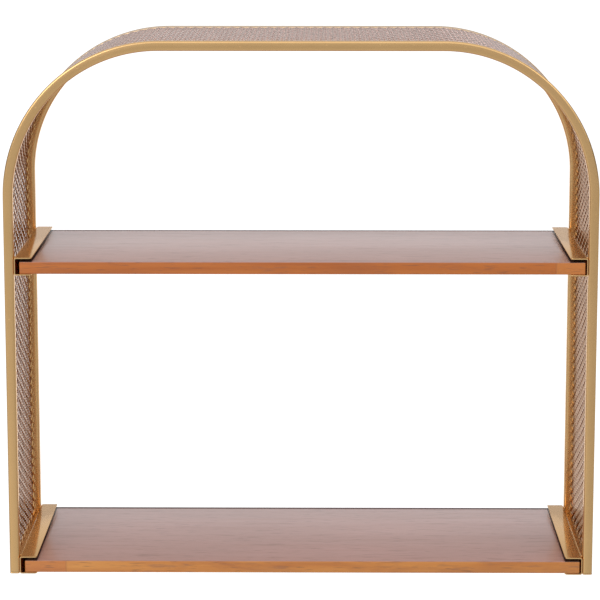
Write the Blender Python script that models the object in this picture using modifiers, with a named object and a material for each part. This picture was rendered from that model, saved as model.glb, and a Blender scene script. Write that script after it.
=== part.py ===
"""Arched wall shelf, in metres, +Z up, front towards -Y, wall plane at Y = 0.

Two arches bent from square steel tube stand one behind the other, joined by a band of expanded
metal that follows them over both sides and the top, and by a rail at each foot. Four channels of
bent sheet are welded inside the arches and hold two wooden boards, which are screwed from below.
The origin is on the wall face, at the middle of the rear arch's top run.
"""

import math

import bmesh
import bpy
from mathutils import Matrix, Vector

# Overall size
WIDTH = 0.610
HEIGHT = 0.5588
DEPTH = 0.203
ARCH_RADIUS = 0.160  # outer face of the two upper bends
BEND_STEPS = 24  # facets in each quarter bend

# Square tube of the arches and foot rails
TUBE = 0.010
TUBE_WALL = 0.0012
TUBE_CORNER = 0.0020
CORNER_STEPS = 4
FOOT_CAP = 0.0015  # thickness of the plate that closes a tube's foot
FOOT_CAP_EDGE = 0.0005

# Expanded metal band, made as a plain sheet of the same mass
BAND_INSET = 0.0015  # from the tubes' outer face to the band's
BAND_SHEET = 0.0005

# Channel brackets of bent sheet
CHANNEL_FLANGE = 0.0180
CHANNEL_SHEET = 0.0012
CHANNEL_BEND = 0.0010  # inner radius of a bend
CHANNEL_BEND_STEPS = 6
CHANNEL_REAR_SETBACK = 0.004
UPPER_CHANNEL_DROP = 0.0624  # from where the bends begin down to the upper channels' tops
LOWER_CHANNEL_BASE = 0.0  # height of the lower channels' underside

# Boards
BOARD_THICKNESS = 0.0127
BOARD_HEADROOM = 0.0031  # from a board's face up to the channels' upper flanges
BOARD_END_PLAY = 0.0060  # both ends together
BOARD_SIDE_SLIP = 0.0013  # how far the boards sit to the right in that play
BOARD_FACE_SETBACK = 0.0005  # front and rear edges behind the arches' faces
BOARD_ARRIS = 0.0008
ARRIS_STEPS = 2

# Screws that hold the boards, with flat heads flush in the channels' lower flanges
SCREW_RADIUS = 0.0015
SCREW_LENGTH = 0.0108
SCREW_POINT = 0.0025
SCREW_HEAD_RADIUS = 0.0030
SCREW_HEAD_HEIGHT = 0.0015
SCREW_HEAD_RECESS = 0.0001  # from the flange's underside up to the head's face
SCREW_SPACING = 0.140  # front screw to rear screw
SCREW_FROM_WEB = 0.0115
SCREW_CLEARANCE = 0.0004  # round the shank, and round the head
PILOT_EXTRA_DEPTH = 0.0008
ROUND_STEPS = 16

# Keyhole plates that hang the shelf on two wall screws
PLATE_WIDTH = 0.024
PLATE_HEIGHT = 0.0135
PLATE_THICKNESS = 0.0015
PLATE_CORNER = 0.0020
PLATE_SPACING = 0.240
KEYHOLE_RADIUS = 0.0040
KEYHOLE_SLOT = 0.0042
KEYHOLE_RISE = 0.0042  # from the round hole's centre to the slot's end centre
KEYHOLE_FROM_EDGE = 0.0055  # from the plate's lower edge to the round hole's centre

# Clearance between pieces that touch or are welded
GAP = 0.0003
CUT_THROUGH = 0.002  # how far a cutter runs past the face it opens
MERGE_DISTANCE = 1e-6  # points closer than this are one point


def clear_scene():
    for item in list(bpy.data.objects):
        bpy.data.objects.remove(item, do_unlink=True)


def new_collection(name):
    collection = bpy.data.collections.new(name)
    bpy.context.scene.collection.children.link(collection)
    return collection


def finish(name, colour, roughness, metallic):
    """Make a Principled material."""
    material = bpy.data.materials.new(name)
    material.use_nodes = True
    shader = material.node_tree.nodes["Principled BSDF"]
    shader.inputs["Base Color"].default_value = (*colour, 1.0)
    shader.inputs["Roughness"].default_value = roughness
    shader.inputs["Metallic"].default_value = metallic
    return material


clear_scene()
SHELF = new_collection("arched_wall_shelf")
CUTTERS = new_collection("cutters")

GOLD = finish("gold_paint", (0.62, 0.44, 0.20), 0.38, 0.85)
BAND_GOLD = finish("expanded_metal_gold", (0.55, 0.38, 0.18), 0.42, 0.80)
WOOD = finish("lacquered_wood", (0.50, 0.22, 0.10), 0.30, 0.0)
STEEL = finish("screw_steel", (0.55, 0.54, 0.52), 0.35, 1.0)

# Everything is placed by its height above the feet
FOOT_LEVEL = bpy.data.objects.new("foot_level", None)
FOOT_LEVEL.location = (0.0, 0.0, TUBE / 2 - HEIGHT)
SHELF.objects.link(FOOT_LEVEL)


def add_part(name, mesh, material, location=(0.0, 0.0, 0.0), turn=0.0):
    """Add a finished piece to the shelf, placed above the foot level."""
    part = bpy.data.objects.new(name, mesh)
    mesh.materials.clear()
    mesh.materials.append(material)
    part.location = location
    part.rotation_euler = (0.0, 0.0, turn)
    part.parent = FOOT_LEVEL
    SHELF.objects.link(part)
    return part


def add_cutter(name, mesh, location=(0.0, 0.0, 0.0)):
    cutter = bpy.data.objects.new(name, mesh)
    cutter.location = location
    cutter.hide_render = True
    cutter.display_type = "WIRE"
    CUTTERS.objects.link(cutter)
    return cutter


def outline_mesh(name, outlines, thickness):
    """Fill closed outlines in the XZ plane and thicken them equally to both sides along Y."""
    curve = bpy.data.curves.new(name, "CURVE")
    curve.dimensions = "2D"
    curve.fill_mode = "BOTH"
    curve.extrude = thickness / 2
    for outline in outlines:
        spline = curve.splines.new("POLY")
        spline.points.add(len(outline) - 1)
        for point, (x, z) in zip(spline.points, outline):
            point.co = (x, z, 0.0, 1.0)
        spline.use_cyclic_u = True
    flat = bpy.data.objects.new(name, curve)
    bpy.context.scene.collection.objects.link(flat)
    mesh = evaluated_mesh(flat, name)
    bpy.data.objects.remove(flat, do_unlink=True)
    mesh.transform(Matrix.Rotation(math.pi / 2, 4, "X"))
    weld(mesh)
    return mesh


def evaluated_mesh(item, name):
    """Return a mesh of the object with its modifiers applied."""
    bpy.context.view_layer.update()
    evaluated = item.evaluated_get(bpy.context.evaluated_depsgraph_get())
    mesh = bpy.data.meshes.new_from_object(evaluated)
    mesh.name = name
    return mesh


def weld(mesh):
    """Join the points that the fill and the sides share, and face everything outwards."""
    shape = bmesh.new()
    shape.from_mesh(mesh)
    bmesh.ops.remove_doubles(shape, verts=shape.verts, dist=MERGE_DISTANCE)
    bmesh.ops.recalc_face_normals(shape, faces=shape.faces)
    shape.to_mesh(mesh)
    shape.free()


def box_mesh(name, low, high):
    """Make a box between two corners."""
    shape = bmesh.new()
    size = Vector(high) - Vector(low)
    centre = (Vector(high) + Vector(low)) / 2
    place = Matrix.Translation(centre) @ Matrix.Diagonal((*size, 1.0))
    bmesh.ops.create_cube(shape, size=1.0, matrix=place)
    mesh = bpy.data.meshes.new(name)
    shape.to_mesh(mesh)
    shape.free()
    return mesh


def add_bevel(part, width, steps):
    bevel = part.modifiers.new("edges", "BEVEL")
    bevel.width = width
    bevel.segments = steps
    bevel.limit_method = "ANGLE"
    bevel.angle_limit = math.radians(30.0)
    return bevel


def add_cut(part, cutter):
    cut = part.modifiers.new("cut", "BOOLEAN")
    cut.operation = "DIFFERENCE"
    cut.object = cutter
    return cut


def baked(part, name):
    """Return the mesh of a scratch object with its cuts made, and remove the object."""
    mesh = evaluated_mesh(part, name)
    bpy.data.objects.remove(part, do_unlink=True)
    return mesh


def turned_mesh(name, profile):
    """Turn a profile of (radius, height) points, given from the top down, about the Z axis."""
    shape = bmesh.new()
    row = [shape.verts.new((radius, 0.0, z)) for radius, z in profile]
    for pair in zip(row, row[1:]):
        shape.edges.new(pair)
    mesh = bpy.data.meshes.new(name + "_profile")
    shape.to_mesh(mesh)
    shape.free()
    blank = bpy.data.objects.new(name + "_blank", mesh)
    CUTTERS.objects.link(blank)
    turn = blank.modifiers.new("turn", "SCREW")
    turn.steps = ROUND_STEPS
    turn.render_steps = ROUND_STEPS
    turn.use_merge_vertices = True
    turn.merge_threshold = MERGE_DISTANCE
    return baked(blank, name)


def shade_round(mesh, sharp_degrees=35.0):
    mesh.shade_smooth()
    mesh.set_sharp_from_angle(angle=math.radians(sharp_degrees))


def arch_line(inset, foot):
    """Points along an arch from the left foot over the top to the right foot.

    inset is the distance in from the tubes' outer face, and foot the height where the line ends.
    """
    bend_x = WIDTH / 2 - ARCH_RADIUS
    bend_z = HEIGHT - ARCH_RADIUS
    radius = ARCH_RADIUS - inset
    points = [(-WIDTH / 2 + inset, foot)]
    for centre_x, start in ((-bend_x, math.pi), (bend_x, math.pi / 2)):
        for step in range(BEND_STEPS + 1):
            angle = start - step * math.pi / 2 / BEND_STEPS
            points.append((centre_x + radius * math.cos(angle), bend_z + radius * math.sin(angle)))
    points.append((WIDTH / 2 - inset, foot))
    return points


def arch_mesh(name, outer_inset, inner_inset, foot, thickness):
    """An arch of rectangular section between two insets, open at the bottom."""
    outline = arch_line(outer_inset, foot) + arch_line(inner_inset, foot)[::-1]
    return outline_mesh(name, [outline], thickness)


# The two arches: square tube with rounded corners, hollow, closed at each foot by a small plate

TUBE_FOOT = FOOT_CAP + GAP
BORE_SIZE = TUBE - 2 * TUBE_WALL
FRONT_TUBE_Y = -DEPTH + TUBE / 2
REAR_TUBE_Y = -TUBE / 2


def make_arches():
    blank_mesh = arch_mesh("arch_tube", 0.0, TUBE, TUBE_FOOT, TUBE)
    bore_mesh = arch_mesh("arch_bore", TUBE_WALL, TUBE - TUBE_WALL, TUBE_FOOT - CUT_THROUGH, BORE_SIZE)
    bore = add_cutter("arch_bore", bore_mesh)
    blank = bpy.data.objects.new("arch_blank", blank_mesh)
    CUTTERS.objects.link(blank)
    add_bevel(blank, TUBE_CORNER, CORNER_STEPS)
    add_cut(blank, bore)
    tube_mesh = baked(blank, "arch_tube_bored")
    shade_round(tube_mesh)
    add_part("front_arch", tube_mesh, GOLD, (0.0, FRONT_TUBE_Y, 0.0))
    add_part("rear_arch", tube_mesh, GOLD, (0.0, REAR_TUBE_Y, 0.0))


def round_upright_edges(mesh, radius, steps):
    shape = bmesh.new()
    shape.from_mesh(mesh)
    upright = [edge for edge in shape.edges if abs(edge.verts[0].co.z - edge.verts[1].co.z) > radius / 10]
    bmesh.ops.bevel(shape, geom=upright, offset=radius, segments=steps, profile=0.5, affect="EDGES")
    shape.to_mesh(mesh)
    shape.free()


def make_foot_caps():
    half = TUBE / 2
    cap_mesh = box_mesh("foot_cap", (-half, -half, 0.0), (half, half, FOOT_CAP))
    round_upright_edges(cap_mesh, TUBE_CORNER, CORNER_STEPS)
    column_x = WIDTH / 2 - half
    for row, y in (("front", FRONT_TUBE_Y), ("rear", REAR_TUBE_Y)):
        for side, x in (("left", -column_x), ("right", column_x)):
            cap = add_part(f"{row}_{side}_foot_cap", cap_mesh, GOLD, (x, y, 0.0))
            add_bevel(cap, FOOT_CAP_EDGE, ARRIS_STEPS)


# The foot rails: the same tube, from the front arch's foot to the rear arch's

RAIL_LENGTH = DEPTH - 2 * TUBE - 2 * GAP


def make_foot_rails():
    half = TUBE / 2
    blank_mesh = box_mesh("foot_rail", (-half, -RAIL_LENGTH / 2, 0.0), (half, RAIL_LENGTH / 2, TUBE))
    blank = bpy.data.objects.new("rail_blank", blank_mesh)
    CUTTERS.objects.link(blank)
    add_bevel(blank, TUBE_CORNER, CORNER_STEPS)
    bore_half = BORE_SIZE / 2
    bore_end = RAIL_LENGTH / 2 + CUT_THROUGH
    bore_mesh = box_mesh(
        "rail_bore",
        (-bore_half, -bore_end, TUBE_WALL),
        (bore_half, bore_end, TUBE - TUBE_WALL),
    )
    add_cut(blank, add_cutter("rail_bore", bore_mesh))
    rail_mesh = baked(blank, "foot_rail_bored")
    shade_round(rail_mesh)
    column_x = WIDTH / 2 - half
    for side, x in (("left", -column_x), ("right", column_x)):
        add_part(f"{side}_foot_rail", rail_mesh, GOLD, (x, -DEPTH / 2, 0.0))


# The band: one strip of expanded metal between the arches, down to the foot rails

def make_band():
    width = DEPTH - 2 * TUBE - 2 * GAP
    mesh = arch_mesh("band", BAND_INSET, BAND_INSET + BAND_SHEET, TUBE + GAP, width)
    shade_round(mesh)
    add_part("expanded_metal_band", mesh, BAND_GOLD, (0.0, -DEPTH / 2, 0.0))


# The channels: sheet bent twice, welded to the arches' inner faces, each with two screw holes

CHANNEL_HEIGHT = 2 * CHANNEL_SHEET + GAP + BOARD_THICKNESS + BOARD_HEADROOM
CHANNEL_LENGTH = DEPTH - CHANNEL_REAR_SETBACK
CHANNEL_MIDDLE_Y = -DEPTH + CHANNEL_LENGTH / 2
WEB_FACE_X = WIDTH / 2 - TUBE - GAP  # outer face of a channel's web
UPPER_CHANNEL_BASE = HEIGHT - ARCH_RADIUS - UPPER_CHANNEL_DROP - CHANNEL_HEIGHT
LEVELS = (("lower", LOWER_CHANNEL_BASE), ("upper", UPPER_CHANNEL_BASE))
SIDES = (("left", -1), ("right", 1))
SCREW_ROWS = (("front", -SCREW_SPACING / 2), ("rear", SCREW_SPACING / 2))


def channel_profile():
    """The outer face of a channel's section, from its upper flange's edge round to its lower one."""
    radius = CHANNEL_BEND + CHANNEL_SHEET
    points = [(CHANNEL_FLANGE, CHANNEL_HEIGHT)]
    for centre_z, start in ((CHANNEL_HEIGHT - radius, math.pi / 2), (radius, math.pi)):
        for step in range(CHANNEL_BEND_STEPS + 1):
            angle = start + step * math.pi / 2 / CHANNEL_BEND_STEPS
            points.append((radius + radius * math.cos(angle), centre_z + radius * math.sin(angle)))
    points.append((CHANNEL_FLANGE, 0.0))
    return points


def channel_sheet_mesh():
    """The outer face of a channel as an open surface, facing out."""
    shape = bmesh.new()
    row = [shape.verts.new((x, -CHANNEL_LENGTH / 2, z)) for x, z in channel_profile()]
    edges = [shape.edges.new(pair) for pair in zip(row, row[1:])]
    extruded = bmesh.ops.extrude_edge_only(shape, edges=edges)["geom"]
    moved = [item for item in extruded if isinstance(item, bmesh.types.BMVert)]
    bmesh.ops.translate(shape, verts=moved, vec=(0.0, CHANNEL_LENGTH, 0.0))
    shape.normal_update()
    web = min(shape.faces, key=lambda face: face.calc_center_median().x)
    if web.normal.x > 0.0:
        bmesh.ops.reverse_faces(shape, faces=shape.faces)
    mesh = bpy.data.meshes.new("channel_sheet")
    shape.to_mesh(mesh)
    shape.free()
    return mesh


def countersink_mesh():
    """A cutter for one flush screw in a lower flange, its axis on Z and the flange's face at 0."""
    shank = SCREW_RADIUS + SCREW_CLEARANCE
    slope = (SCREW_HEAD_RADIUS - SCREW_RADIUS) / SCREW_HEAD_HEIGHT
    mouth = SCREW_HEAD_RADIUS + SCREW_CLEARANCE + slope * CUT_THROUGH
    return turned_mesh(
        "countersink",
        (
            (0.0, CHANNEL_SHEET + CUT_THROUGH),
            (shank, CHANNEL_SHEET + CUT_THROUGH),
            (shank, SCREW_HEAD_HEIGHT),
            (mouth, -CUT_THROUGH),
            (0.0, -CUT_THROUGH),
        ),
    )


def make_channels():
    sheet = bpy.data.objects.new("channel_blank", channel_sheet_mesh())
    CUTTERS.objects.link(sheet)
    wall = sheet.modifiers.new("sheet", "SOLIDIFY")
    wall.thickness = CHANNEL_SHEET
    wall.offset = -1.0
    wall.use_even_offset = True
    for row, y in SCREW_ROWS:
        add_cut(sheet, add_cutter(f"{row}_countersink", countersink_mesh(), (SCREW_FROM_WEB, y, 0.0)))
    channel_mesh = baked(sheet, "channel")
    shade_round(channel_mesh)
    for level, base in LEVELS:
        for side, sign in SIDES:
            turn = math.pi if sign > 0 else 0.0
            place = (sign * WEB_FACE_X, CHANNEL_MIDDLE_Y, base)
            add_part(f"{level}_{side}_channel", channel_mesh, GOLD, place, turn)


# The boards: solid wood with eased edges, resting in the channels, drilled from below

BOARD_UNDERSIDE = CHANNEL_SHEET + GAP  # above a channel's underside
BOARD_LENGTH = 2 * (WEB_FACE_X - CHANNEL_SHEET) - BOARD_END_PLAY
BOARD_DEPTH = DEPTH - 2 * BOARD_FACE_SETBACK
SCREW_X = WEB_FACE_X - SCREW_FROM_WEB


def pilot_mesh():
    """A cutter for one screw's pilot hole, its axis on Z and the board's underside at 0."""
    radius = SCREW_RADIUS + SCREW_CLEARANCE
    depth = SCREW_HEAD_RECESS + SCREW_LENGTH - BOARD_UNDERSIDE + PILOT_EXTRA_DEPTH
    profile = ((0.0, depth), (radius, depth), (radius, -CUT_THROUGH), (0.0, -CUT_THROUGH))
    return turned_mesh("pilot", profile)


def make_boards():
    half_length = BOARD_LENGTH / 2
    half_depth = BOARD_DEPTH / 2
    blank_mesh = box_mesh(
        "board_blank",
        (-half_length, -half_depth, 0.0),
        (half_length, half_depth, BOARD_THICKNESS),
    )
    blank = bpy.data.objects.new("board_blank", blank_mesh)
    CUTTERS.objects.link(blank)
    add_bevel(blank, BOARD_ARRIS, ARRIS_STEPS)
    for side, sign in SIDES:
        for row, y in SCREW_ROWS:
            hole_x = sign * SCREW_X - BOARD_SIDE_SLIP
            hole_y = CHANNEL_MIDDLE_Y + y + DEPTH / 2
            add_cut(blank, add_cutter(f"{side}_{row}_pilot", pilot_mesh(), (hole_x, hole_y, 0.0)))
    board_mesh = baked(blank, "board")
    for level, base in LEVELS:
        place = (BOARD_SIDE_SLIP, -DEPTH / 2, base + BOARD_UNDERSIDE)
        add_part(f"{level}_board", board_mesh, WOOD, place)


# The screws: flat heads below, points up in the boards

def screw_mesh():
    """One screw on the Z axis, with its head's face at 0 and its point up."""
    profile = (
        (0.0, SCREW_LENGTH),
        (SCREW_RADIUS, SCREW_LENGTH - SCREW_POINT),
        (SCREW_RADIUS, SCREW_HEAD_HEIGHT),
        (SCREW_HEAD_RADIUS, 0.0),
        (0.0, 0.0),
    )
    mesh = turned_mesh("board_screw", profile)
    shade_round(mesh)
    return mesh


def make_screws():
    mesh = screw_mesh()
    for level, base in LEVELS:
        for side, sign in SIDES:
            for row, y in SCREW_ROWS:
                place = (sign * SCREW_X, CHANNEL_MIDDLE_Y + y, base + SCREW_HEAD_RECESS)
                add_part(f"{level}_{side}_{row}_screw", mesh, STEEL, place)


# The keyhole plates: welded under the rear arch's top run, flush with its wall face

def arc(centre, radius, start_degrees, end_degrees, steps):
    """Points on an arc in the XZ plane, both ends included."""
    points = []
    for step in range(steps + 1):
        angle = math.radians(start_degrees + (end_degrees - start_degrees) * step / steps)
        points.append((centre[0] + radius * math.cos(angle), centre[1] + radius * math.sin(angle)))
    return points


def plate_outline():
    half = PLATE_WIDTH / 2
    inner = half - PLATE_CORNER
    lower = arc((-inner, PLATE_CORNER), PLATE_CORNER, 180.0, 270.0, CORNER_STEPS)
    lower += arc((inner, PLATE_CORNER), PLATE_CORNER, 270.0, 360.0, CORNER_STEPS)
    return lower + [(half, PLATE_HEIGHT), (-half, PLATE_HEIGHT)]


def keyhole_outline():
    slot_radius = KEYHOLE_SLOT / 2
    entry = math.degrees(math.asin(slot_radius / KEYHOLE_RADIUS))
    round_hole = arc((0.0, KEYHOLE_FROM_EDGE), KEYHOLE_RADIUS, 90.0 + entry, 450.0 - entry, ROUND_STEPS)
    slot_end = (0.0, KEYHOLE_FROM_EDGE + KEYHOLE_RISE)
    return round_hole + arc(slot_end, slot_radius, 0.0, 180.0, ROUND_STEPS // 2)


def make_keyhole_plates():
    mesh = outline_mesh("keyhole_plate", [plate_outline(), keyhole_outline()], PLATE_THICKNESS)
    base = HEIGHT - TUBE - GAP - PLATE_HEIGHT
    for side, sign in SIDES:
        place = (sign * PLATE_SPACING / 2, -PLATE_THICKNESS / 2, base)
        add_part(f"{side}_keyhole_plate", mesh, GOLD, place)


make_arches()
make_foot_caps()
make_foot_rails()
make_band()
make_channels()
make_boards()
make_screws()
make_keyhole_plates()
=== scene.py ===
import math

import bmesh
import bpy
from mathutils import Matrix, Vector


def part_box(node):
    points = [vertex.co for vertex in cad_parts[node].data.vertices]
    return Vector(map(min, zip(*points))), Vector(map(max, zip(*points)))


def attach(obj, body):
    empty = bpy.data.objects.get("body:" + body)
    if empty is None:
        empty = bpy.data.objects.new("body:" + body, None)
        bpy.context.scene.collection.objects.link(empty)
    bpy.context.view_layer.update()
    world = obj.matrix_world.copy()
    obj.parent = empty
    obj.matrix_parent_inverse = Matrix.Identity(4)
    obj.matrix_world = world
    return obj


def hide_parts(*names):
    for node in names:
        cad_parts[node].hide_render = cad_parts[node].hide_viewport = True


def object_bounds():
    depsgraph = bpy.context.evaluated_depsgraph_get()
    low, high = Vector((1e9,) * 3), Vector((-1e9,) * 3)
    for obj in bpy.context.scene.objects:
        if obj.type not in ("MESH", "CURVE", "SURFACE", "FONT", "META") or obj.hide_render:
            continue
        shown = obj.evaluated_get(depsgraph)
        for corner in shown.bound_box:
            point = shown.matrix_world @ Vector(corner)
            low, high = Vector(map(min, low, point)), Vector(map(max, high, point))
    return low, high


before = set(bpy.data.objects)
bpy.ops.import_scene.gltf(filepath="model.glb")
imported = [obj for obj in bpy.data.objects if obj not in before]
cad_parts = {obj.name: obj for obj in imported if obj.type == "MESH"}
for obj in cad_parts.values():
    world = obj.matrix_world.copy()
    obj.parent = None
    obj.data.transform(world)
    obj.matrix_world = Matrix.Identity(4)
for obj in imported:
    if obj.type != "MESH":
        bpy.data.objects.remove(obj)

cad_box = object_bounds()


# ---- Where it hangs: a pale floor, soft light from both sides, and the camera ----
# The shelf hangs at about chest height, and the wall is left out so that its back shows. A cool, dim
# surround gives the metal something to reflect, and two large soft boxes light the front.

HANGING_HEIGHT = 1.5
FLOOR_SIZE = 120.0
FLOOR_DARK = 0.65
FLOOR_LIGHT = 0.68
SWEEP_GLOW = 0.66
SWEEP_STARTS = (1.5, 4.0)  # behind the shelf, where the sweep begins and where it is full
SWEEP_SIDES = (0.16, 0.90)  # off the middle, as a share of the distance to the fan's point
FAN_POINT = 2.6  # in front of the shelf, where the sweep's sides would meet
FAN_NARROWEST = 0.5
POOL_STARTS = (-11.0, -5.5)  # in front of the shelf, from far to near
POOL_ENDS = (-4.0, -1.5)
POOL_SIDES = (-1.6, 1.6)
POOL_LEVELS = (0.34, 0.0)  # how bright it is at its left and its right side
foot_level = cad_box[0].z
middle = (cad_box[0] + cad_box[1]) / 2


class Wire:
    """One value in a finish's node tree. Arithmetic on it adds Math nodes."""

    def __init__(self, tree, socket):
        self.tree = tree
        self.socket = socket

    def math(self, operation, *values):
        node = self.tree.nodes.new("ShaderNodeMath")
        node.operation = operation
        for slot, value in zip(node.inputs, values):
            if isinstance(value, Wire):
                self.tree.links.new(value.socket, slot)
            else:
                slot.default_value = value
        return Wire(self.tree, node.outputs[0])

    def __add__(self, other):
        return self.math("ADD", self, other)

    def __sub__(self, other):
        return self.math("SUBTRACT", self, other)

    def __rsub__(self, other):
        return self.math("SUBTRACT", other, self)

    def __mul__(self, other):
        return self.math("MULTIPLY", self, other)

    def __truediv__(self, other):
        return self.math("DIVIDE", self, other)

    def __gt__(self, other):
        return self.math("GREATER_THAN", self, other)

    def __lt__(self, other):
        return self.math("LESS_THAN", self, other)

    def magnitude(self):
        return self.math("ABSOLUTE", self)

    def at_least(self, other):
        return self.math("MAXIMUM", self, other)

    def spread(self, low, high):
        """Runs from low to high as the value runs from 0 to 1."""
        return self * (high - low) + low


class Nodes:
    """A node tree that adds any node from its type, settings, ramp stops and inputs."""

    def __init__(self, tree):
        self.tree = tree

    def node(self, kind, inputs, output=0, stops=None, **settings):
        """Adds one node: its settings and ramp stops first, then its inputs' values or links."""
        node = self.tree.nodes.new("ShaderNode" + kind)
        for setting, value in settings.items():
            setattr(node, setting, value)
        if stops:
            ramp = node.color_ramp
            while len(ramp.elements) < len(stops):
                ramp.elements.new(0.5)
            for element, (position, shade) in zip(ramp.elements, stops):
                element.position = position
                element.color = (*shade, 1.0)
        for name, value in inputs.items():
            if isinstance(value, Wire):
                self.tree.links.new(value.socket, node.inputs[name])
            else:
                node.inputs[name].default_value = value
        return Wire(self.tree, node.outputs[output])

    def place(self, kind="Object"):
        return self.node("TexCoord", {}, kind)

    def split(self, vector):
        return [self.node("SeparateXYZ", {"Vector": vector}, axis) for axis in "XYZ"]

    def stretched(self, vector, scale):
        return self.node("Mapping", {"Vector": vector, "Scale": scale})

    def noise(self, vector, scale, detail=2.0, roughness=0.5, distortion=0.0):
        return self.node("TexNoise", {
            "Vector": vector, "Scale": scale, "Detail": detail,
            "Roughness": roughness, "Distortion": distortion,
        })

    def ramp(self, factor, *stops):
        return self.node("ValToRGB", {"Fac": factor}, stops=stops)

    def between(self, value, start, end):
        """0 below start, 1 above end, and a straight line between them."""
        return self.node("MapRange", {"Value": value, "From Min": start, "From Max": end})

    def mixed(self, factor, first, second):
        """Two colours mixed; 6, 7 and 2 are the Mix node's colour sockets."""
        return self.node("Mix", {0: factor, 6: first, 7: second}, 2, data_type="RGBA")

    def bumps(self, *layers):
        """Bump nodes in a row, each a height, its strength and its distance in metres."""
        normal = None
        for height, strength, distance in layers:
            inputs = {"Height": height, "Strength": strength, "Distance": distance}
            if normal is not None:
                inputs["Normal"] = normal
            normal = self.node("Bump", inputs)
        return normal


class Finish(Nodes):
    """A material with a Principled shader: what is the same all over is set on its sockets."""

    def __init__(self, name, **constants):
        self.material = bpy.data.materials.new(name)
        self.material.use_nodes = True
        super().__init__(self.material.node_tree)
        self.shader = self.tree.nodes["Principled BSDF"]
        for socket, value in constants.items():
            self.shader.inputs[socket.replace("_", " ")].default_value = value

    def feed(self, **links):
        for socket, wire in links.items():
            self.tree.links.new(wire.socket, self.shader.inputs[socket.replace("_", " ")])
        return self.material


def add_studio_floor():
    """A pale floor that glows, though it is no lamp: a bright painted glow in a sweep behind the shelf,
    and a softer glowing pool of painted light in front, brighter on its left.
    """
    bpy.ops.object.select_all(action="DESELECT")
    bpy.ops.mesh.primitive_plane_add(size=FLOOR_SIZE, location=(0, 0, foot_level - HANGING_HEIGHT))
    floor = bpy.context.object
    floor.name = "studio_floor"
    bpy.ops.object.transform_apply(location=True, rotation=True, scale=True)
    pale = Finish("pale_floor", Roughness=0.9, Emission_Strength=SWEEP_GLOW)
    place = pale.place()
    shade = pale.noise(place, 1.2, detail=3.0)
    across, back, _ = pale.split(place)
    off_middle = across.magnitude() / (back + FAN_POINT).at_least(FAN_NARROWEST)
    sweep = pale.between(back, *SWEEP_STARTS) * (1.0 - pale.between(off_middle, *SWEEP_SIDES))
    pool = pale.between(back, *POOL_STARTS) * (1.0 - pale.between(back, *POOL_ENDS))
    floor.data.materials.append(pale.feed(
        Base_Color=pale.ramp(shade, (0.3, (FLOOR_DARK,) * 3), (0.7, (FLOOR_LIGHT,) * 3)),
        # painted light: the floor glows in the sweep behind the shelf and in the pool in front, which is
        # brighter on the left
        Emission_Color=sweep + pool * pale.between(across, *POOL_SIDES).spread(*POOL_LEVELS),
    ))


def add_soft_box(name, place, size, watts):
    """A square soft box that faces the shelf's middle."""
    bpy.ops.object.light_add(type="AREA", location=place)
    box = bpy.context.object
    box.name = name
    box.data.shape = "SQUARE"
    box.data.size = size
    box.data.energy = watts
    box.rotation_euler = (middle - Vector(place)).to_track_quat("-Z", "Y").to_euler()


SIDE_LIGHT = 0.24
FRONT_LIGHT = 0.36
FRONT_RISES = 0.60  # how much brighter the front gets over the heights that follow
FRONT_RISE_SPAN = (0.15, 0.5)
FRONT_LEANS_LEFT = 0.35
SWEEP_LIGHT = 0.68
SWEEP_BEHIND = (0.6, 0.95)  # how far back the bright part starts, and is full
SWEEP_TOP = (0.20, 0.65)  # how high it reaches
OVERHEAD_LIGHT = 0.62
OVERHEAD_SPAN = (0.3, 0.9)
SURROUND_TINT = (0.97, 0.98, 1.0, 1.0)


def light_the_surround():
    """A slightly cool studio: dim at the sides, brighter in front, above, and low at the back."""
    surround = bpy.data.worlds.new("studio_surround")
    bpy.context.scene.world = surround
    surround.use_nodes = True
    nodes = Nodes(surround.node_tree)
    side, back, up = nodes.split(nodes.place("Generated"))
    front = nodes.between(back, 0.0, -1.0)
    higher = nodes.between(up, *FRONT_RISE_SPAN) * FRONT_RISES
    ahead = front * front * (higher + FRONT_LIGHT - side * FRONT_LEANS_LEFT)
    low_behind = nodes.between(back, *SWEEP_BEHIND) * (1.0 - nodes.between(up, *SWEEP_TOP))
    overhead = nodes.between(up, *OVERHEAD_SPAN) * OVERHEAD_LIGHT
    background = surround.node_tree.nodes["Background"]
    background.inputs["Color"].default_value = SURROUND_TINT
    strength = ahead + low_behind * SWEEP_LIGHT + overhead + SIDE_LIGHT
    surround.node_tree.links.new(strength.socket, background.inputs["Strength"])


add_studio_floor()
add_soft_box("left_soft_box", place=(-1.9, -2.4, 1.2), size=1.8, watts=20.0)
add_soft_box("right_soft_box", place=(2.0, -2.3, 1.1), size=1.6, watts=8.0)
light_the_surround()

CAMERA_SIDE = 0.018
CAMERA_FRONT = -2.6
CAMERA_ABOVE_FEET = 0.7625
CAMERA_PITCH = math.radians(9.3)
CAMERA_YAW = math.radians(0.45)
CAMERA_LENS = 142.5
CAMERA_SHIFT = -0.1235
bpy.ops.object.camera_add(
    location=(CAMERA_SIDE, CAMERA_FRONT, foot_level + CAMERA_ABOVE_FEET),
    rotation=(math.pi / 2 - CAMERA_PITCH, 0.0, CAMERA_YAW),
)
camera = bpy.context.object
camera.name = "studio_camera"
camera.data.sensor_width = 36.0
camera.data.lens = CAMERA_LENS
camera.data.shift_y = CAMERA_SHIFT
camera.data.clip_end = 200.0
bpy.context.scene.camera = camera
bpy.context.scene.view_settings.view_transform = "Standard"


# ---- The two arches: square steel tube with rounded corners, bent cold, sprayed gold ----
# Each arch is one tube: a straight leg, a quarter bend, the top run, a quarter bend and a leg.
# The mesh band, the foot rails and the channels' welds hold the two apart.

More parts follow.
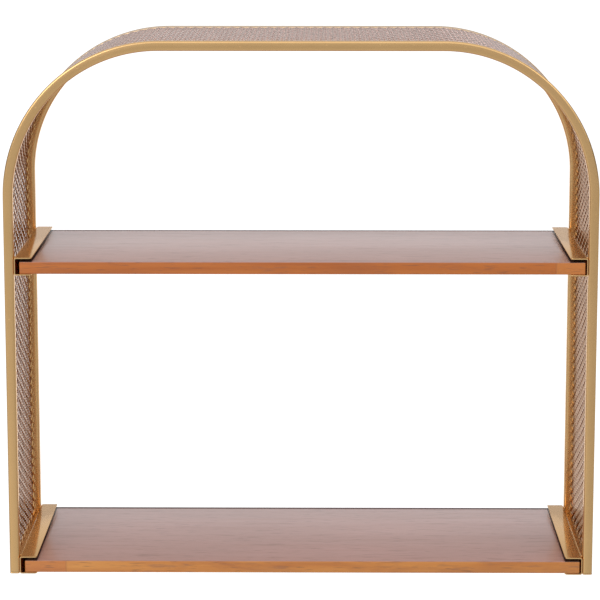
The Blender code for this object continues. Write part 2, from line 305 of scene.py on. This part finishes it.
front_low, front_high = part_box("front_arch")
rear_low, rear_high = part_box("rear_arch")
TUBE = front_high.y - front_low.y
TUBE_CORNER = 0.0020
CORNER_ROUNDS = 4
ARCH_RADIUS = 0.160
BEND_STEPS = 48
leg_x = front_high.x - TUBE / 2
bend_x = front_high.x - ARCH_RADIUS
bend_z = front_high.z - ARCH_RADIUS
tube_foot = front_low.z
PAINTED_SHEEN_HEIGHT = (-0.06, -0.02)  # painted sheen, pale on the rear arch's upward faces at the top: the height where it starts, and is full
PAINTED_SHEEN_DEPTH = (-0.02, -0.012)
PAINTED_SHEEN_TINT = (0.66, 0.60, 0.55, 1.0)


def gold_paint():
    """Satin champagne gold, sprayed: a fine orange peel, thin and thick patches, a few specks of dust,
    and a painted pale sheen on the rear arch's upward faces at the top.
    """
    gold = Finish("gold_paint", Metallic=1.0, Specular_Tint=(0.86, 0.78, 0.70, 1.0))
    place = gold.place()
    _, back, up = gold.split(place)
    facing_up = gold.split(gold.place("Normal"))[2]
    painted_sheen = gold.between(up, *PAINTED_SHEEN_HEIGHT) * gold.between(back, *PAINTED_SHEEN_DEPTH)
    patches = gold.noise(place, 14.0, detail=3.0)
    flake = gold.noise(place, 2600.0, detail=1.0)
    peel = gold.noise(place, 900.0, detail=2.0)
    dust = gold.noise(place, 420.0, detail=0.0) > 0.83
    tone = gold.ramp(patches, (0.30, (0.80, 0.485, 0.205)), (0.70, (0.86, 0.53, 0.23)))
    tone = gold.mixed(flake.spread(0.0, 0.35), tone, (0.95, 0.67, 0.34, 1.0))
    return gold.feed(
        # painted sheen: the rear arch's upward faces at the top are mixed towards a pale grey-pink,
        # standing in for reflected light
        Base_Color=gold.mixed(painted_sheen * gold.between(facing_up, 0.2, 0.6) * 0.6, tone, PAINTED_SHEEN_TINT),
        Roughness=patches.spread(0.18, 0.25) + flake * 0.04,
        Normal=gold.bumps((peel, 0.35, 0.00006), (dust, 0.5, 0.00008)),
    )


MERGE_DISTANCE = 1e-6  # points closer than this are one point


def start_piece(name, finish):
    """Names the new primitive, puts its place in its mesh, and opens it in edit mode."""
    piece = bpy.context.object
    piece.name = name
    piece.data.name = name
    piece.data.materials.append(finish)
    bpy.ops.object.transform_apply(location=True, rotation=True, scale=True)
    bpy.ops.object.mode_set(mode="EDIT")
    return piece


def select(piece, test, part="edges"):
    """Selects the open piece's edges or vertices whose middle passes the test."""
    shape = bmesh.from_edit_mesh(piece.data)
    bpy.ops.mesh.select_all(action="DESELECT")
    for element in getattr(shape, part):
        corners = [element] if part == "verts" else element.verts
        spot = sum((corner.co for corner in corners), Vector()) / len(corners)
        if test(spot):
            element.select_set(True)
    shape.select_flush_mode()
    bmesh.update_edit_mesh(piece.data)


def extrude(x=0.0, y=0.0, z=0.0):
    bpy.ops.mesh.extrude_region_move(TRANSFORM_OT_translate={"value": (x, y, z)})


def close_piece(sharp_degrees=35.0):
    """Merges doubles, turns the faces outwards, and shades the rounded parts smooth."""
    bpy.ops.mesh.select_all(action="SELECT")
    bpy.ops.mesh.remove_doubles(threshold=MERGE_DISTANCE)
    bpy.ops.mesh.normals_make_consistent(inside=False)
    bpy.ops.object.mode_set(mode="OBJECT")
    bpy.ops.object.shade_smooth_by_angle(angle=math.radians(sharp_degrees))


def add_modifier(piece, kind, **settings):
    """Adds a modifier to a piece and applies it at once."""
    modifier = piece.modifiers.new(kind.lower(), kind)
    for setting, value in settings.items():
        setattr(modifier, setting, value)
    bpy.ops.object.select_all(action="DESELECT")
    bpy.context.view_layer.objects.active = piece
    piece.select_set(True)
    bpy.ops.object.modifier_apply(modifier=modifier.name)


def finished(piece, slot, *nodes):
    """Hands a piece to the frame: it rides on the one body and stands for its CAD nodes."""
    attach(piece, "root")
    if nodes:
        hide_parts(*nodes)


def copied(piece, name, x=0.0, y=0.0, z=0.0, mirror_x=False):
    """A copy of a piece with its own mesh, moved or mirrored."""
    twin = piece.copy()
    twin.data = piece.data.copy()
    twin.name = name
    twin.data.name = name
    bpy.context.scene.collection.objects.link(twin)
    bpy.ops.object.select_all(action="DESELECT")
    bpy.context.view_layer.objects.active = twin
    twin.select_set(True)
    twin.location = (x, y, z)
    twin.scale = (-1.0 if mirror_x else 1.0, 1.0, 1.0)
    bpy.ops.object.transform_apply(location=True, rotation=True, scale=True)
    if mirror_x:
        bpy.ops.object.mode_set(mode="EDIT")
        bpy.ops.mesh.select_all(action="SELECT")
        bpy.ops.mesh.normals_make_consistent(inside=False)
        bpy.ops.object.mode_set(mode="OBJECT")
    return twin


GOLD = gold_paint()


def bend_arch(name, tube_y):
    """Bends one tube into an arch: its square end is carried up, round, across, round and down."""
    bpy.ops.object.select_all(action="DESELECT")
    bpy.ops.mesh.primitive_plane_add(size=TUBE, location=(-leg_x, tube_y, tube_foot))
    arch = start_piece(name, GOLD)
    bpy.ops.mesh.bevel(offset=TUBE_CORNER, segments=CORNER_ROUNDS, affect="VERTICES")
    extrude(z=bend_z - tube_foot)
    for centre_x, run in ((-bend_x, {"x": 2 * bend_x}), (bend_x, {"z": tube_foot - bend_z})):
        bpy.ops.mesh.spin(
            steps=BEND_STEPS, angle=-math.pi / 2, center=(centre_x, tube_y, bend_z), axis=(0.0, 1.0, 0.0)
        )
        extrude(**run)
    close_piece()
    return arch


for row, low, high in (("front", front_low, front_high), ("rear", rear_low, rear_high)):
    arch = bend_arch(f"{row}_arch_tube", (low.y + high.y) / 2)
    finished(arch, "gold_paint", f"{row}_arch")


# ---- The foot rails: the same steel tube, cut to length and sprayed with the frame ----
# They are welded between the arches' feet, and the band's ends rest on them.

for side in ("left", "right"):
    rail_low, rail_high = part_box(f"{side}_foot_rail")
    rail_middle = (rail_low + rail_high) / 2
    bpy.ops.object.select_all(action="DESELECT")
    bpy.ops.mesh.primitive_plane_add(
        size=TUBE, location=(rail_middle.x, rail_low.y, rail_middle.z), rotation=(math.pi / 2, 0, 0)
    )
    rail = start_piece(f"{side}_rail_tube", GOLD)
    bpy.ops.mesh.bevel(offset=TUBE_CORNER, segments=CORNER_ROUNDS, affect="VERTICES")
    extrude(y=rail_high.y - rail_low.y)
    close_piece()
    finished(rail, "gold_paint", f"{side}_foot_rail")


# ---- The foot caps: small steel plates that close the tubes' feet, welded and ground ----
# The CAD plates have their shape already and only take the gold paint.

def paint_cad_piece(node):
    cad_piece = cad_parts[node]
    cad_piece.data.materials.clear()
    cad_piece.data.materials.append(GOLD)


for row in ("front", "rear"):
    for side in ("left", "right"):
        paint_cad_piece(f"{row}_{side}_foot_cap")


# ---- The band: expanded metal, slit and drawn into diamonds, bent over and spot welded in ----
# One strip runs up a side, over the top and down, with its cut knuckles against both arches.

band_low, band_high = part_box("expanded_metal_band")
DIAMONDS_ACROSS = 9
ROWS_ALONG = 156
STRAND = 0.0013  # sheet thickness
KNUCKLE_HALF_WIDTH = 0.0019
KNUCKLE_HALF_LENGTH = 0.0022
STRAND_TILT = 0.18  # rise across a strand, as a share of its width
WELD_IN = 0.0004
BAND_PATH_INSET = 0.0018  # from the arches' outer face to the middle of the sheet
BAND_BEND_STEPS = 60
BAND_TURN = -math.pi / 2
TOP_OF_BAND = (-0.06, -0.015)  # the height over which the band turns paler, a painted sheen on its top
NEAR = 1e-5  # slack in the choice of edges and corners


def mesh_gold():
    """The same gold, duller and browner all over, and paler towards the top of the band, a painted sheen
    there.
    """
    gold = Finish("mesh_gold_paint", Metallic=1.0, Specular_Tint=(0.78, 0.68, 0.62, 1.0))
    place = gold.place()
    patches = gold.noise(place, 30.0, detail=3.0)
    grain = gold.noise(place, 1500.0, detail=2.0)
    tone = gold.ramp(patches, (0.30, (0.58, 0.39, 0.26)), (0.70, (0.70, 0.48, 0.33)))
    tone = gold.mixed(grain.spread(0.0, 0.4), tone, (0.46, 0.30, 0.19, 1.0))
    painted_top_sheen = gold.between(gold.split(place)[2], *TOP_OF_BAND)
    return gold.feed(
        # painted sheen: the top of the band is mixed towards a pale pink, standing in for reflected light
        Base_Color=gold.mixed(painted_top_sheen * 0.92, tone, (0.98, 0.90, 0.89, 1.0)),
        Roughness=grain.spread(0.16, 0.26),
        Normal=gold.bumps((grain, 0.4, 0.00005)),
    )


MESH_GOLD = mesh_gold()


def quarter_of_a_diamond(row_pitch, column_pitch):
    """Half a knuckle, one strand and half the next knuckle, laid flat."""
    bpy.ops.object.select_all(action="DESELECT")
    bpy.ops.mesh.primitive_plane_add(
        size=1.0, location=(KNUCKLE_HALF_WIDTH / 2, KNUCKLE_HALF_LENGTH / 2, 0.0)
    )
    strand = bpy.context.object
    strand.scale = (KNUCKLE_HALF_WIDTH, KNUCKLE_HALF_LENGTH, 1.0)
    strand = start_piece("expanded_metal_mesh", MESH_GOLD)
    half_row, half_column = row_pitch / 2, column_pitch / 2
    select(strand, lambda spot: spot.y > KNUCKLE_HALF_LENGTH - NEAR)
    extrude(x=half_row - KNUCKLE_HALF_WIDTH, y=half_column - 2 * KNUCKLE_HALF_LENGTH)
    extrude(y=KNUCKLE_HALF_LENGTH)
    lift = STRAND_TILT * KNUCKLE_HALF_WIDTH
    for edge_x, first_y, last_y, rise in (
        (KNUCKLE_HALF_WIDTH, 0.0, KNUCKLE_HALF_LENGTH, -lift),
        (half_row - KNUCKLE_HALF_WIDTH, half_column - KNUCKLE_HALF_LENGTH, half_column, lift),
    ):
        select(
            strand,
            lambda spot: abs(spot.x - edge_x) < NEAR and first_y - NEAR < spot.y < last_y + NEAR,
            "verts",
        )
        bpy.ops.transform.translate(value=(0.0, 0.0, rise))
    bpy.ops.object.mode_set(mode="OBJECT")
    return strand


def path_of_the_band(inset):
    """The line that the sheet's middle follows, drawn as a poly curve from foot to foot."""
    radius = ARCH_RADIUS - inset
    points = [(-front_high.x + inset, band_low.z)]
    for centre_x, start in ((-bend_x, math.pi), (bend_x, math.pi / 2)):
        for step in range(BAND_BEND_STEPS + 1):
            angle = start - step * math.pi / 2 / BAND_BEND_STEPS
            points.append((centre_x + radius * math.cos(angle), bend_z + radius * math.sin(angle)))
    points.append((front_high.x - inset, band_low.z))
    curve = bpy.data.curves.new("band_path", "CURVE")
    curve.dimensions = "3D"
    line = curve.splines.new("POLY")
    line.points.add(len(points) - 1)
    for point, (x, z) in zip(line.points, points):
        point.co = (x, 0.0, z, 1.0)
        point.tilt = BAND_TURN
    path = bpy.data.objects.new("band_path", curve)
    bpy.context.scene.collection.objects.link(path)
    length = 2 * (bend_z - band_low.z) + 2 * bend_x + math.pi * radius
    return path, length


path, band_length = path_of_the_band(BAND_PATH_INSET)
row_pitch = band_length / ROWS_ALONG
band_width = band_high.y - band_low.y + 2 * WELD_IN
column_pitch = band_width / DIAMONDS_ACROSS
sheet = quarter_of_a_diamond(row_pitch, column_pitch)
add_modifier(sheet, "MIRROR", use_axis=(False, True, False), merge_threshold=NEAR)
bpy.ops.object.mode_set(mode="EDIT")
bpy.ops.mesh.select_all(action="SELECT")
bpy.ops.mesh.duplicate()
bpy.ops.transform.resize(value=(-1.0, 1.0, -1.0), center_override=(row_pitch / 2, 0.0, 0.0))
bpy.ops.mesh.select_all(action="SELECT")
bpy.ops.mesh.remove_doubles(threshold=NEAR)
bpy.ops.mesh.normals_make_consistent(inside=False)
first_column_y = (band_low.y + band_high.y) / 2 - band_width / 2 + column_pitch / 2
bpy.ops.transform.translate(value=(0.0, first_column_y, 0.0))
bpy.ops.object.mode_set(mode="OBJECT")
for count, step in ((ROWS_ALONG, (row_pitch, 0.0, 0.0)), (DIAMONDS_ACROSS, (0.0, column_pitch, 0.0))):
    add_modifier(
        sheet, "ARRAY", count=count, use_relative_offset=False, use_constant_offset=True,
        constant_offset_displace=step, use_merge_vertices=True, merge_threshold=NEAR,
    )
add_modifier(sheet, "SOLIDIFY", thickness=STRAND, offset=0.0)
add_modifier(sheet, "CURVE", object=path, deform_axis="POS_X")
bpy.data.objects.remove(path)
bpy.ops.object.mode_set(mode="EDIT")
close_piece(sharp_degrees=30.0)
finished(sheet, "expanded_metal", "expanded_metal_band")


# ---- The four channels: sheet steel folded twice, welded to the arches, open towards the middle ----
# Each lower flange has two countersunk holes for the screws that hold the board.

CHANNEL_SHEET = 0.0012
CHANNEL_OUTER_BEND = 0.0022
CORNER_CUT = 0.0028
SHEARED_EDGE = 0.00018
COUNTERSINK_RIM = 0.0036
COUNTERSINK_POINT = 0.0012
COUNTERSINK_DEPTH = 0.0024
COUNTERSINK_MIDDLE = 0.0009  # its height over the flange's underside


def fold_channel(level):
    """Folds the left channel of a level from its flat strip, and drills it from below."""
    low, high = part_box(f"{level}_left_channel")
    spot = (low + high) / 2
    bpy.ops.object.select_all(action="DESELECT")
    bpy.ops.mesh.primitive_plane_add(size=1.0, location=(spot.x, spot.y, low.z))
    bpy.context.object.scale = (high.x - low.x, high.y - low.y, 1.0)
    channel = start_piece(f"{level}_left_channel_sheet", GOLD)
    select(channel, lambda spot: abs(spot.x - low.x) < NEAR)
    extrude(z=high.z - low.z)
    extrude(x=high.x - low.x)
    select(
        channel,
        lambda spot: abs(spot.x - low.x) < NEAR and min(spot.z - low.z, high.z - spot.z) < NEAR,
    )
    bpy.ops.mesh.bevel(offset=CHANNEL_OUTER_BEND, segments=8, affect="EDGES")
    select(channel, lambda spot: spot.x > high.x - NEAR and spot.y < low.y + NEAR, "verts")
    bpy.ops.mesh.bevel(offset=CORNER_CUT, segments=2, affect="VERTICES")
    bpy.ops.mesh.select_all(action="SELECT")
    bpy.ops.mesh.normals_make_consistent(inside=False)
    bpy.ops.object.mode_set(mode="OBJECT")
    web = min(channel.data.polygons, key=lambda face: face.center.x)
    if web.normal.x > 0:
        channel.data.flip_normals()
    add_modifier(channel, "SOLIDIFY", thickness=CHANNEL_SHEET, offset=-1.0)
    add_modifier(
        channel, "BEVEL", width=SHEARED_EDGE, segments=2,
        limit_method="ANGLE", angle_limit=math.radians(50.0),
    )
    for row in ("front", "rear"):
        screw_low, screw_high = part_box(f"{level}_left_{row}_screw")
        middle_of_screw = (screw_low + screw_high) / 2
        bpy.ops.object.select_all(action="DESELECT")
        bpy.ops.mesh.primitive_cone_add(
            vertices=48, radius1=COUNTERSINK_RIM, radius2=COUNTERSINK_POINT, depth=COUNTERSINK_DEPTH,
            location=(middle_of_screw.x, middle_of_screw.y, low.z + COUNTERSINK_MIDDLE),
        )
        drill = bpy.context.object
        add_modifier(channel, "BOOLEAN", object=drill, operation="DIFFERENCE", solver="EXACT")
        bpy.data.objects.remove(drill)
    bpy.ops.object.mode_set(mode="EDIT")
    close_piece(sharp_degrees=40.0)
    return channel


for level in ("lower", "upper"):
    left_channel = fold_channel(level)
    right_channel = copied(left_channel, f"{level}_right_channel_sheet", mirror_x=True)
    finished(left_channel, "gold_paint", f"{level}_left_channel")
    finished(right_channel, "gold_paint", f"{level}_right_channel")


# ---- The two boards: solid wood, stained and lacquered, laid loosely in the channels ----
# Each is glued up from blocks and planed, with its edges broken. It slides in between the flanges
# from the front, with a little play at both ends so that the wood can move.

ARRIS = 0.0009
REAR_LINE = (-0.0075, -0.0060)  # the dark line along the rear edge begins here, and is full here
PAINTED_CHANNEL_SHADOW = (0.2760, 0.2766)  # painted shadow under and beside the channels' flanges: where it begins, and is full, as a distance from the middle


def lacquered_wood(name, edge_dark, edge_light, block_end, block_tone):
    """Reddish wood under satin lacquer: a brown top face that is partly a painted pinkish sheen, orange
    edges glued up from blocks, and a painted shadow under the channels.
    """
    wood = Finish(name, Coat_Roughness=0.22)
    place = wood.place()
    facing_up = wood.split(wood.place("Normal"))[2]
    along, back, _ = wood.split(place)
    grain = wood.noise(wood.stretched(place, (5.0, 110.0, 110.0)), 1.0, detail=6.0, roughness=0.62)
    figure = wood.noise(wood.stretched(place, (9.0, 34.0, 34.0)), 1.0, detail=4.0, distortion=1.2)
    pores = wood.noise(wood.stretched(place, (55.0, 700.0, 700.0)), 1.0, detail=2.0)
    clouds = wood.noise(wood.stretched(place, (4.0, 11.0, 11.0)), 1.0, detail=3.0)
    face = wood.ramp(clouds, (0.32, (0.50, 0.262, 0.210)), (0.68, (0.60, 0.315, 0.262)))
    face = wood.mixed(grain.spread(0.0, 0.45), face, (0.38, 0.175, 0.125, 1.0))
    edge = wood.ramp(grain, (0.28, edge_dark), (0.72, edge_light))
    edge = wood.mixed(wood.between(figure, 0.52, 0.75) * 0.5, edge, (0.36, 0.10, 0.03, 1.0))
    block = (along > block_end) if block_end > 0 else (along < block_end)
    edge = wood.mixed(block * 0.55, edge, block_tone)
    joint = 1.0 - wood.between((along - block_end).magnitude(), 0.0004, 0.0012)
    edge = wood.mixed(joint * 0.25, edge, (0.30, 0.09, 0.03, 1.0))
    # painted sheen: upward faces take the pinkish-brown face colour, partly the wood's own and partly
    # standing in for reflected light; all others take the orange edge colour
    tone = wood.mixed(wood.between(facing_up, 0.35, 0.75), edge, face)
    tone = wood.mixed(wood.between(pores, 0.60, 0.72) * 0.45, tone, (0.15, 0.06, 0.035, 1.0))
    streaks = wood.noise(wood.stretched(place, (22.0, 150.0, 150.0)), 1.0, detail=3.0, roughness=0.6)
    tone = wood.mixed(wood.between(streaks, 0.58, 0.70) * 0.40, tone, (0.24, 0.095, 0.060, 1.0))
    on_face = wood.between(facing_up, 0.3, 0.8)
    rear_line = wood.between(back, *REAR_LINE) * on_face
    tone = wood.mixed(rear_line * 0.85, tone, (0.045, 0.020, 0.012, 1.0))
    # painted shadow: the board's top under the channels' flanges and just beside them is darkened nearly
    # to black
    painted_channel_shadow = wood.between(along.magnitude(), *PAINTED_CHANNEL_SHADOW) * on_face
    tone = wood.mixed(painted_channel_shadow * 0.92, tone, (0.030, 0.014, 0.010, 1.0))
    return wood.feed(
        Base_Color=tone,
        Roughness=grain.spread(0.34, 0.48) + rear_line * 0.4,
        Coat_Weight=0.65 - rear_line.at_least(painted_channel_shadow) * 0.6,
        Normal=wood.bumps((pores, 0.25, 0.00005), (grain, 0.15, 0.0002)),
    )


WOODS = {
    "lower": lacquered_wood(
        "lower_board_wood", edge_dark=(0.60, 0.195, 0.030), edge_light=(0.77, 0.32, 0.065),
        block_end=-0.246, block_tone=(0.60, 0.17, 0.036, 1.0),
    ),
    "upper": lacquered_wood(
        "upper_board_wood", edge_dark=(0.46, 0.108, 0.008), edge_light=(0.66, 0.190, 0.020),
        block_end=0.262, block_tone=(0.72, 0.25, 0.045, 1.0),
    ),
}
for level in ("lower", "upper"):
    low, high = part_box(f"{level}_board")
    spot = (low + high) / 2
    bpy.ops.object.select_all(action="DESELECT")
    bpy.ops.mesh.primitive_cube_add(size=1.0, location=spot)
    bpy.context.object.scale = high - low
    board = start_piece(f"{level}_wood_board", WOODS[level])
    bpy.ops.mesh.select_all(action="SELECT")
    bpy.ops.mesh.bevel(offset=ARRIS, segments=4, affect="EDGES")
    close_piece()
    finished(board, "wood", f"{level}_board")


# ---- The eight screws: short flat-head wood screws of zinc-plated steel ----
# They are turned, pressed with a cross recess, and driven up through the lower flanges into the
# boards, which keeps the boards from sliding out.

def screw_steel():
    """Bright zinc-plated steel with a faint yellow cast, and turning marks on the heads."""
    steel = Finish("screw_steel", Metallic=1.0)
    place = steel.place()
    marks = steel.noise(place, 1800.0, detail=2.0)
    return steel.feed(
        Base_Color=steel.ramp(marks, (0.2, (0.55, 0.53, 0.47)), (0.8, (0.72, 0.70, 0.63))),
        Roughness=marks.spread(0.25, 0.4),
    )


STEEL = screw_steel()
SCREW_HEAD_RADIUS = 0.0030
SCREW_HEAD_HEIGHT = 0.0015
SCREW_SHANK_RADIUS = 0.0015
SCREW_RIM = 0.0002  # the straight edge round the head
SHANK_SHARE = 0.65  # of the screw's length, before its point
POINT_TAPER = 0.15  # the point's width as a share of the shank's
CROSS = (0.0034, 0.00075, 0.0019)  # length, width and twice the depth of a slot
CROSS_TURN = 0.35


def turn_screw(name, low, high):
    """Turns one screw from its head upwards, and presses the cross into its head."""
    spot = (low + high) / 2
    bpy.ops.object.select_all(action="DESELECT")
    bpy.ops.mesh.primitive_circle_add(
        vertices=40, radius=SCREW_HEAD_RADIUS, fill_type="NGON", location=(spot.x, spot.y, low.z)
    )
    screw = start_piece(name, STEEL)
    head = (spot.x, spot.y, low.z)
    taper = SCREW_SHANK_RADIUS / SCREW_HEAD_RADIUS
    shank = (high.z - low.z) * SHANK_SHARE
    extrude(z=SCREW_RIM)
    extrude(z=SCREW_HEAD_HEIGHT - SCREW_RIM)
    bpy.ops.transform.resize(value=(taper, taper, 1.0), center_override=head)
    extrude(z=shank)
    extrude(z=high.z - low.z - SCREW_HEAD_HEIGHT - shank)
    bpy.ops.transform.resize(value=(POINT_TAPER, POINT_TAPER, 1.0), center_override=head)
    close_piece()
    for turn in (CROSS_TURN, CROSS_TURN + math.pi / 2):
        bpy.ops.object.select_all(action="DESELECT")
        bpy.ops.mesh.primitive_cube_add(size=1.0, location=head, rotation=(0, 0, turn))
        blade = bpy.context.object
        blade.scale = CROSS
        add_modifier(screw, "BOOLEAN", object=blade, operation="DIFFERENCE", solver="EXACT")
        bpy.data.objects.remove(blade)
    bpy.ops.object.mode_set(mode="EDIT")
    close_piece()
    return screw


first_low, first_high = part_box("lower_left_front_screw")
first_screw = turn_screw("lower_left_front_flat_head", first_low, first_high)
for level in ("lower", "upper"):
    for side in ("left", "right"):
        for row in ("front", "rear"):
            node = f"{level}_{side}_{row}_screw"
            screw = first_screw
            if node != "lower_left_front_screw":
                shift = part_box(node)[0] - first_low
                screw = copied(first_screw, f"{level}_{side}_{row}_flat_head", *shift)
            finished(screw, "screw_steel", node)


# ---- The keyhole plates: punched steel plates that hang the shelf on two wall screws ----
# They are welded under the rear arch's top run, where the front arch hides them. The CAD plates have
# their shape already and only take the gold paint.

for side in ("left", "right"):
    paint_cad_piece(f"{side}_keyhole_plate")


# ---- The weld beads: short ripples of weld under the paint ----
# They join the channels to the arches' inner faces, and the keyhole plates to the rear arch.

BEAD_RADIUS = 0.0011
BEAD_STEP = 0.0008  # from one drop to the next
BEAD_OFF_CORNER = 0.0001  # from a bead's middle to the corner that it fills
BEAD_OFF_ARCH = 0.0002
CHANNEL_BEAD = 0.016
CHANNEL_BEAD_FOOT = 0.0020  # from the channel's underside up to its bead
PLATE_BEAD = 0.012


def lay_bead(name, start, direction, length):
    """Lays one bead: drops set in a row and fused together."""
    bpy.ops.object.select_all(action="DESELECT")
    bpy.ops.mesh.primitive_uv_sphere_add(segments=16, ring_count=10, radius=BEAD_RADIUS, location=start)
    bead = start_piece(name, GOLD)
    bpy.ops.object.mode_set(mode="OBJECT")
    add_modifier(
        bead, "ARRAY", count=round(length / BEAD_STEP), use_relative_offset=False,
        use_constant_offset=True, constant_offset_displace=Vector(direction) * BEAD_STEP,
    )
    add_modifier(bead, "REMESH", mode="VOXEL", voxel_size=BEAD_RADIUS / 5, use_smooth_shade=True)
    return bead


channel_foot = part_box("lower_left_channel")[0].z
rear_bead_y = rear_low.y - BEAD_OFF_ARCH
front_bead_y = front_high.y + BEAD_OFF_ARCH
channel_bead_start = (
    front_low.x + TUBE + BEAD_OFF_CORNER, rear_bead_y, channel_foot + CHANNEL_BEAD_FOOT
)
first_bead = lay_bead("lower_left_rear_weld", channel_bead_start, (0, 0, 1), CHANNEL_BEAD)

plate_low, plate_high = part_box("left_keyhole_plate")
plate_middle_x = (plate_low.x + plate_high.x) / 2
plate_bead_start = (
    plate_middle_x - PLATE_BEAD / 2, plate_low.y - BEAD_OFF_CORNER, plate_high.z + BEAD_OFF_CORNER
)
plate_bead = lay_bead("left_plate_weld", plate_bead_start, (1, 0, 0), PLATE_BEAD)
to_right_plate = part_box("right_keyhole_plate")[0].x - plate_low.x
finished(copied(plate_bead, "right_plate_weld", to_right_plate), "gold_paint")
finished(plate_bead, "gold_paint")

for level in ("lower", "upper"):
    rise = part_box(f"{level}_left_channel")[0].z - channel_foot
    for side in ("left", "right"):
        for row, bead_y in (("rear", rear_bead_y), ("front", front_bead_y)):
            name = f"{level}_{side}_{row}_weld"
            bead = first_bead
            if name != "lower_left_rear_weld":
                bead = copied(first_bead, name, y=bead_y - rear_bead_y, z=rise, mirror_x=side == "right")
            finished(bead, "gold_paint")
